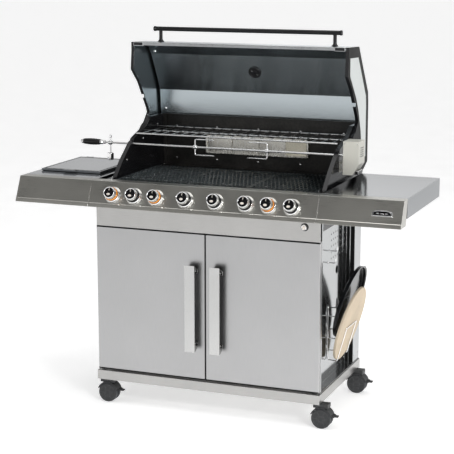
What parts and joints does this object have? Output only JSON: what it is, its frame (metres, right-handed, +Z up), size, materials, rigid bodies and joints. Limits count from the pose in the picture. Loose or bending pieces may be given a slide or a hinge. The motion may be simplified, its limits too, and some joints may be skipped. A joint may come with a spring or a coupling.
{
  "type": "gas barbecue grill",
  "caption": "Cart-mounted gas barbecue with hinged roll-top lid, rotisserie spit, knob panel, side shelves, two-door cabinet and swivel casters.",
  "frame": {"origin": "on the floor, under the middle of the grill's overall width and depth, with the lid open", "axes": "+X to the right of a person at the controls, +Y to the back, +Z up"},
  "size_m": [1.697, 0.7712, 1.6045],
  "materials": {
    "steel": "vertical brushed grain, satin",
    "dark_steel": "horizontal brushed grain, darker satin",
    "black_enamel": "gloss black enamel",
    "cast_iron": "porcelain-coated cast iron, semi-matt",
    "chrome": "polished",
    "black_plastic": "semi-gloss black",
    "caster_plastic": "moulded black",
    "caster_tread": "moulded charcoal",
    "stone": "matt fired clay",
    "burner_tile": "perforated ceramic tile in a steel frame",
    "brass": "machined"
  },
  "bodies": {
    "cart": {"base_tray": "steel", "caster_mounts": "black_enamel", "left_side_panel": "steel", "right_side_panel": "steel", "back_panel": "black_enamel", "front_frame": "steel", "control_panel": "dark_steel", "shelf_fascias": "dark_steel", "knob_bezels": "chrome", "gas_manifold": "brass", "firebox_shell": "black_enamel", "firebox_ends": "black_enamel", "main_burners": "steel", "sear_plates": "steel", "cooking_grids": "cast_iron", "warming_rack": "chrome", "rear_burner": "burner_tile", "left_shelf": "steel", "right_shelf": "steel", "side_burner": "black_enamel", "hinge_pins": "chrome", "rotisserie_motor": "steel", "side_rack": "chrome"},
    "lid": {"lid_skin": "steel", "lid_end_caps": "black_enamel", "lid_handle": "black_enamel", "temperature_gauge": "chrome"},
    "left_door": {"left_door": "steel", "left_door_handle": "steel"},
    "right_door": {"right_door": "steel", "right_door_handle": "steel"},
    "light_button": {"light_button": "chrome"},
    "side_burner_lid": {"side_burner_lid": "steel"},
    "spit": {"spit_rod": "steel", "spit_handle": "black_plastic", "spit_forks": "steel", "spit_counterweight": "chrome"},
    "drip_pan": {"drip_pan": "steel"},
    "pizza_stone": {"pizza_stone": "stone"},
    "baking_pan": {"baking_pan": "black_enamel"},
    "knob_1": {"knob_1": "black_plastic"},
    "knob_2": {"knob_2": "black_plastic"},
    "knob_3": {"knob_3": "black_plastic"},
    "knob_4": {"knob_4": "black_plastic"},
    "knob_5": {"knob_5": "black_plastic"},
    "knob_6": {"knob_6": "black_plastic"},
    "knob_7": {"knob_7": "black_plastic"},
    "knob_8": {"knob_8": "black_plastic"},
    "caster_swivel_front_left": {"caster_swivel_front_left": "caster_plastic"},
    "caster_wheels_front_left": {"caster_wheels_front_left": "caster_tread"},
    "caster_brake_front_left": {"caster_brake_front_left": "caster_plastic"},
    "caster_swivel_front_right": {"caster_swivel_front_right": "caster_plastic"},
    "caster_wheels_front_right": {"caster_wheels_front_right": "caster_tread"},
    "caster_brake_front_right": {"caster_brake_front_right": "caster_plastic"},
    "caster_swivel_rear_left": {"caster_swivel_rear_left": "caster_plastic"},
    "caster_wheels_rear_left": {"caster_wheels_rear_left": "caster_tread"},
    "caster_brake_rear_left": {"caster_brake_rear_left": "caster_plastic"},
    "caster_swivel_rear_right": {"caster_swivel_rear_right": "caster_plastic"},
    "caster_wheels_rear_right": {"caster_wheels_rear_right": "caster_tread"},
    "caster_brake_rear_right": {"caster_brake_rear_right": "caster_plastic"}
  },
  "joints": [
    {"name": "lid_hinge", "type": "hinge", "parent": "cart", "child": "lid", "pos_m": [0, 0.205, 1.098], "axis": [1, 0, 0], "range_deg": [0, 87]},
    {"name": "left_door_hinge", "type": "hinge", "parent": "cart", "child": "left_door", "pos_m": [-0.492, -0.275, 0.47], "axis": [0, 0, -1], "range_deg": [0, 110]},
    {"name": "right_door_hinge", "type": "hinge", "parent": "cart", "child": "right_door", "pos_m": [0.492, -0.275, 0.47], "axis": [0, 0, 1], "range_deg": [0, 110]},
    {"name": "knob_1_turn", "type": "hinge", "parent": "cart", "child": "knob_1", "pos_m": [-0.3955, -0.337, 0.9315], "axis": [0, -0.9095, 0.4158], "range_deg": [0, 130]},
    {"name": "knob_2_turn", "type": "hinge", "parent": "cart", "child": "knob_2", "pos_m": [-0.2975, -0.337, 0.9315], "axis": [0, -0.9095, 0.4158], "range_deg": [0, 130]},
    {"name": "knob_3_turn", "type": "hinge", "parent": "cart", "child": "knob_3", "pos_m": [-0.1995, -0.337, 0.9315], "axis": [0, -0.9095, 0.4158], "range_deg": [0, 130]},
    {"name": "knob_4_turn", "type": "hinge", "parent": "cart", "child": "knob_4", "pos_m": [-0.0665, -0.337, 0.9315], "axis": [0, -0.9095, 0.4158], "range_deg": [0, 130]},
    {"name": "knob_5_turn", "type": "hinge", "parent": "cart", "child": "knob_5", "pos_m": [0.0665, -0.337, 0.9315], "axis": [0, -0.9095, 0.4158], "range_deg": [0, 130]},
    {"name": "knob_6_turn", "type": "hinge", "parent": "cart", "child": "knob_6", "pos_m": [0.1995, -0.337, 0.9315], "axis": [0, -0.9095, 0.4158], "range_deg": [0, 130]},
    {"name": "knob_7_turn", "type": "hinge", "parent": "cart", "child": "knob_7", "pos_m": [0.2975, -0.337, 0.9315], "axis": [0, -0.9095, 0.4158], "range_deg": [0, 130]},
    {"name": "knob_8_turn", "type": "hinge", "parent": "cart", "child": "knob_8", "pos_m": [0.3955, -0.337, 0.9315], "axis": [0, -0.9095, 0.4158], "range_deg": [0, 130]},
    {"name": "light_button_press", "type": "slide", "parent": "cart", "child": "light_button", "axis": [0, 1, 0], "range_m": [0, 0.003], "stiffness_N_per_m": 300},
    {"name": "side_burner_lid_hinge", "type": "hinge", "parent": "cart", "child": "side_burner_lid", "pos_m": [-0.685, 0.214, 0.991], "axis": [-1, 0, 0], "range_deg": [0, 6]},
    {"name": "spit_spin", "type": "hinge", "parent": "cart", "child": "spit", "pos_m": [0, 0.012, 1.099], "axis": [1, 0, 0], "continuous": true},
    {"name": "drip_pan_slide", "type": "slide", "parent": "cart", "child": "drip_pan", "axis": [0, 1, 0], "range_m": [0, 0.35]},
    {"name": "pizza_stone_lift", "type": "slide", "parent": "cart", "child": "pizza_stone", "axis": [0.2723, 0, 0.9622], "range_m": [0, 0.2]},
    {"name": "baking_pan_lift", "type": "slide", "parent": "cart", "child": "baking_pan", "axis": [0.2723, 0, 0.9622], "range_m": [0, 0.2]},
    {"name": "caster_front_left_swivel", "type": "hinge", "parent": "cart", "child": "caster_swivel_front_left", "pos_m": [-0.487, -0.252, 0.1], "axis": [0, 0, 1], "continuous": true},
    {"name": "caster_front_left_roll", "type": "hinge", "parent": "caster_swivel_front_left", "child": "caster_wheels_front_left", "pos_m": [-0.467, -0.252, 0.0425], "axis": [0, 1, 0], "continuous": true},
    {"name": "caster_front_left_brake", "type": "hinge", "parent": "caster_swivel_front_left", "child": "caster_brake_front_left", "pos_m": [-0.415, -0.252, 0.055], "axis": [0, 1, 0], "range_deg": [0, 15]},
    {"name": "caster_front_right_swivel", "type": "hinge", "parent": "cart", "child": "caster_swivel_front_right", "pos_m": [0.487, -0.252, 0.1], "axis": [0, 0, 1], "continuous": true},
    {"name": "caster_front_right_roll", "type": "hinge", "parent": "caster_swivel_front_right", "child": "caster_wheels_front_right", "pos_m": [0.507, -0.252, 0.0425], "axis": [0, 1, 0], "continuous": true},
    {"name": "caster_front_right_brake", "type": "hinge", "parent": "caster_swivel_front_right", "child": "caster_brake_front_right", "pos_m": [0.559, -0.252, 0.055], "axis": [0, 1, 0], "range_deg": [0, 15]},
    {"name": "caster_rear_left_swivel", "type": "hinge", "parent": "cart", "child": "caster_swivel_rear_left", "pos_m": [-0.487, 0.259, 0.1], "axis": [0, 0, 1], "continuous": true},
    {"name": "caster_rear_left_roll", "type": "hinge", "parent": "caster_swivel_rear_left", "child": "caster_wheels_rear_left", "pos_m": [-0.467, 0.259, 0.0425], "axis": [0, 1, 0], "continuous": true},
    {"name": "caster_rear_left_brake", "type": "hinge", "parent": "caster_swivel_rear_left", "child": "caster_brake_rear_left", "pos_m": [-0.415, 0.259, 0.055], "axis": [0, 1, 0], "range_deg": [0, 15]},
    {"name": "caster_rear_right_swivel", "type": "hinge", "parent": "cart", "child": "caster_swivel_rear_right", "pos_m": [0.487, 0.259, 0.1], "axis": [0, 0, 1], "continuous": true},
    {"name": "caster_rear_right_roll", "type": "hinge", "parent": "caster_swivel_rear_right", "child": "caster_wheels_rear_right", "pos_m": [0.507, 0.259, 0.0425], "axis": [0, 1, 0], "continuous": true},
    {"name": "caster_rear_right_brake", "type": "hinge", "parent": "caster_swivel_rear_right", "child": "caster_brake_rear_right", "pos_m": [0.559, 0.259, 0.055], "axis": [0, 1, 0], "range_deg": [0, 15]}
  ]
}
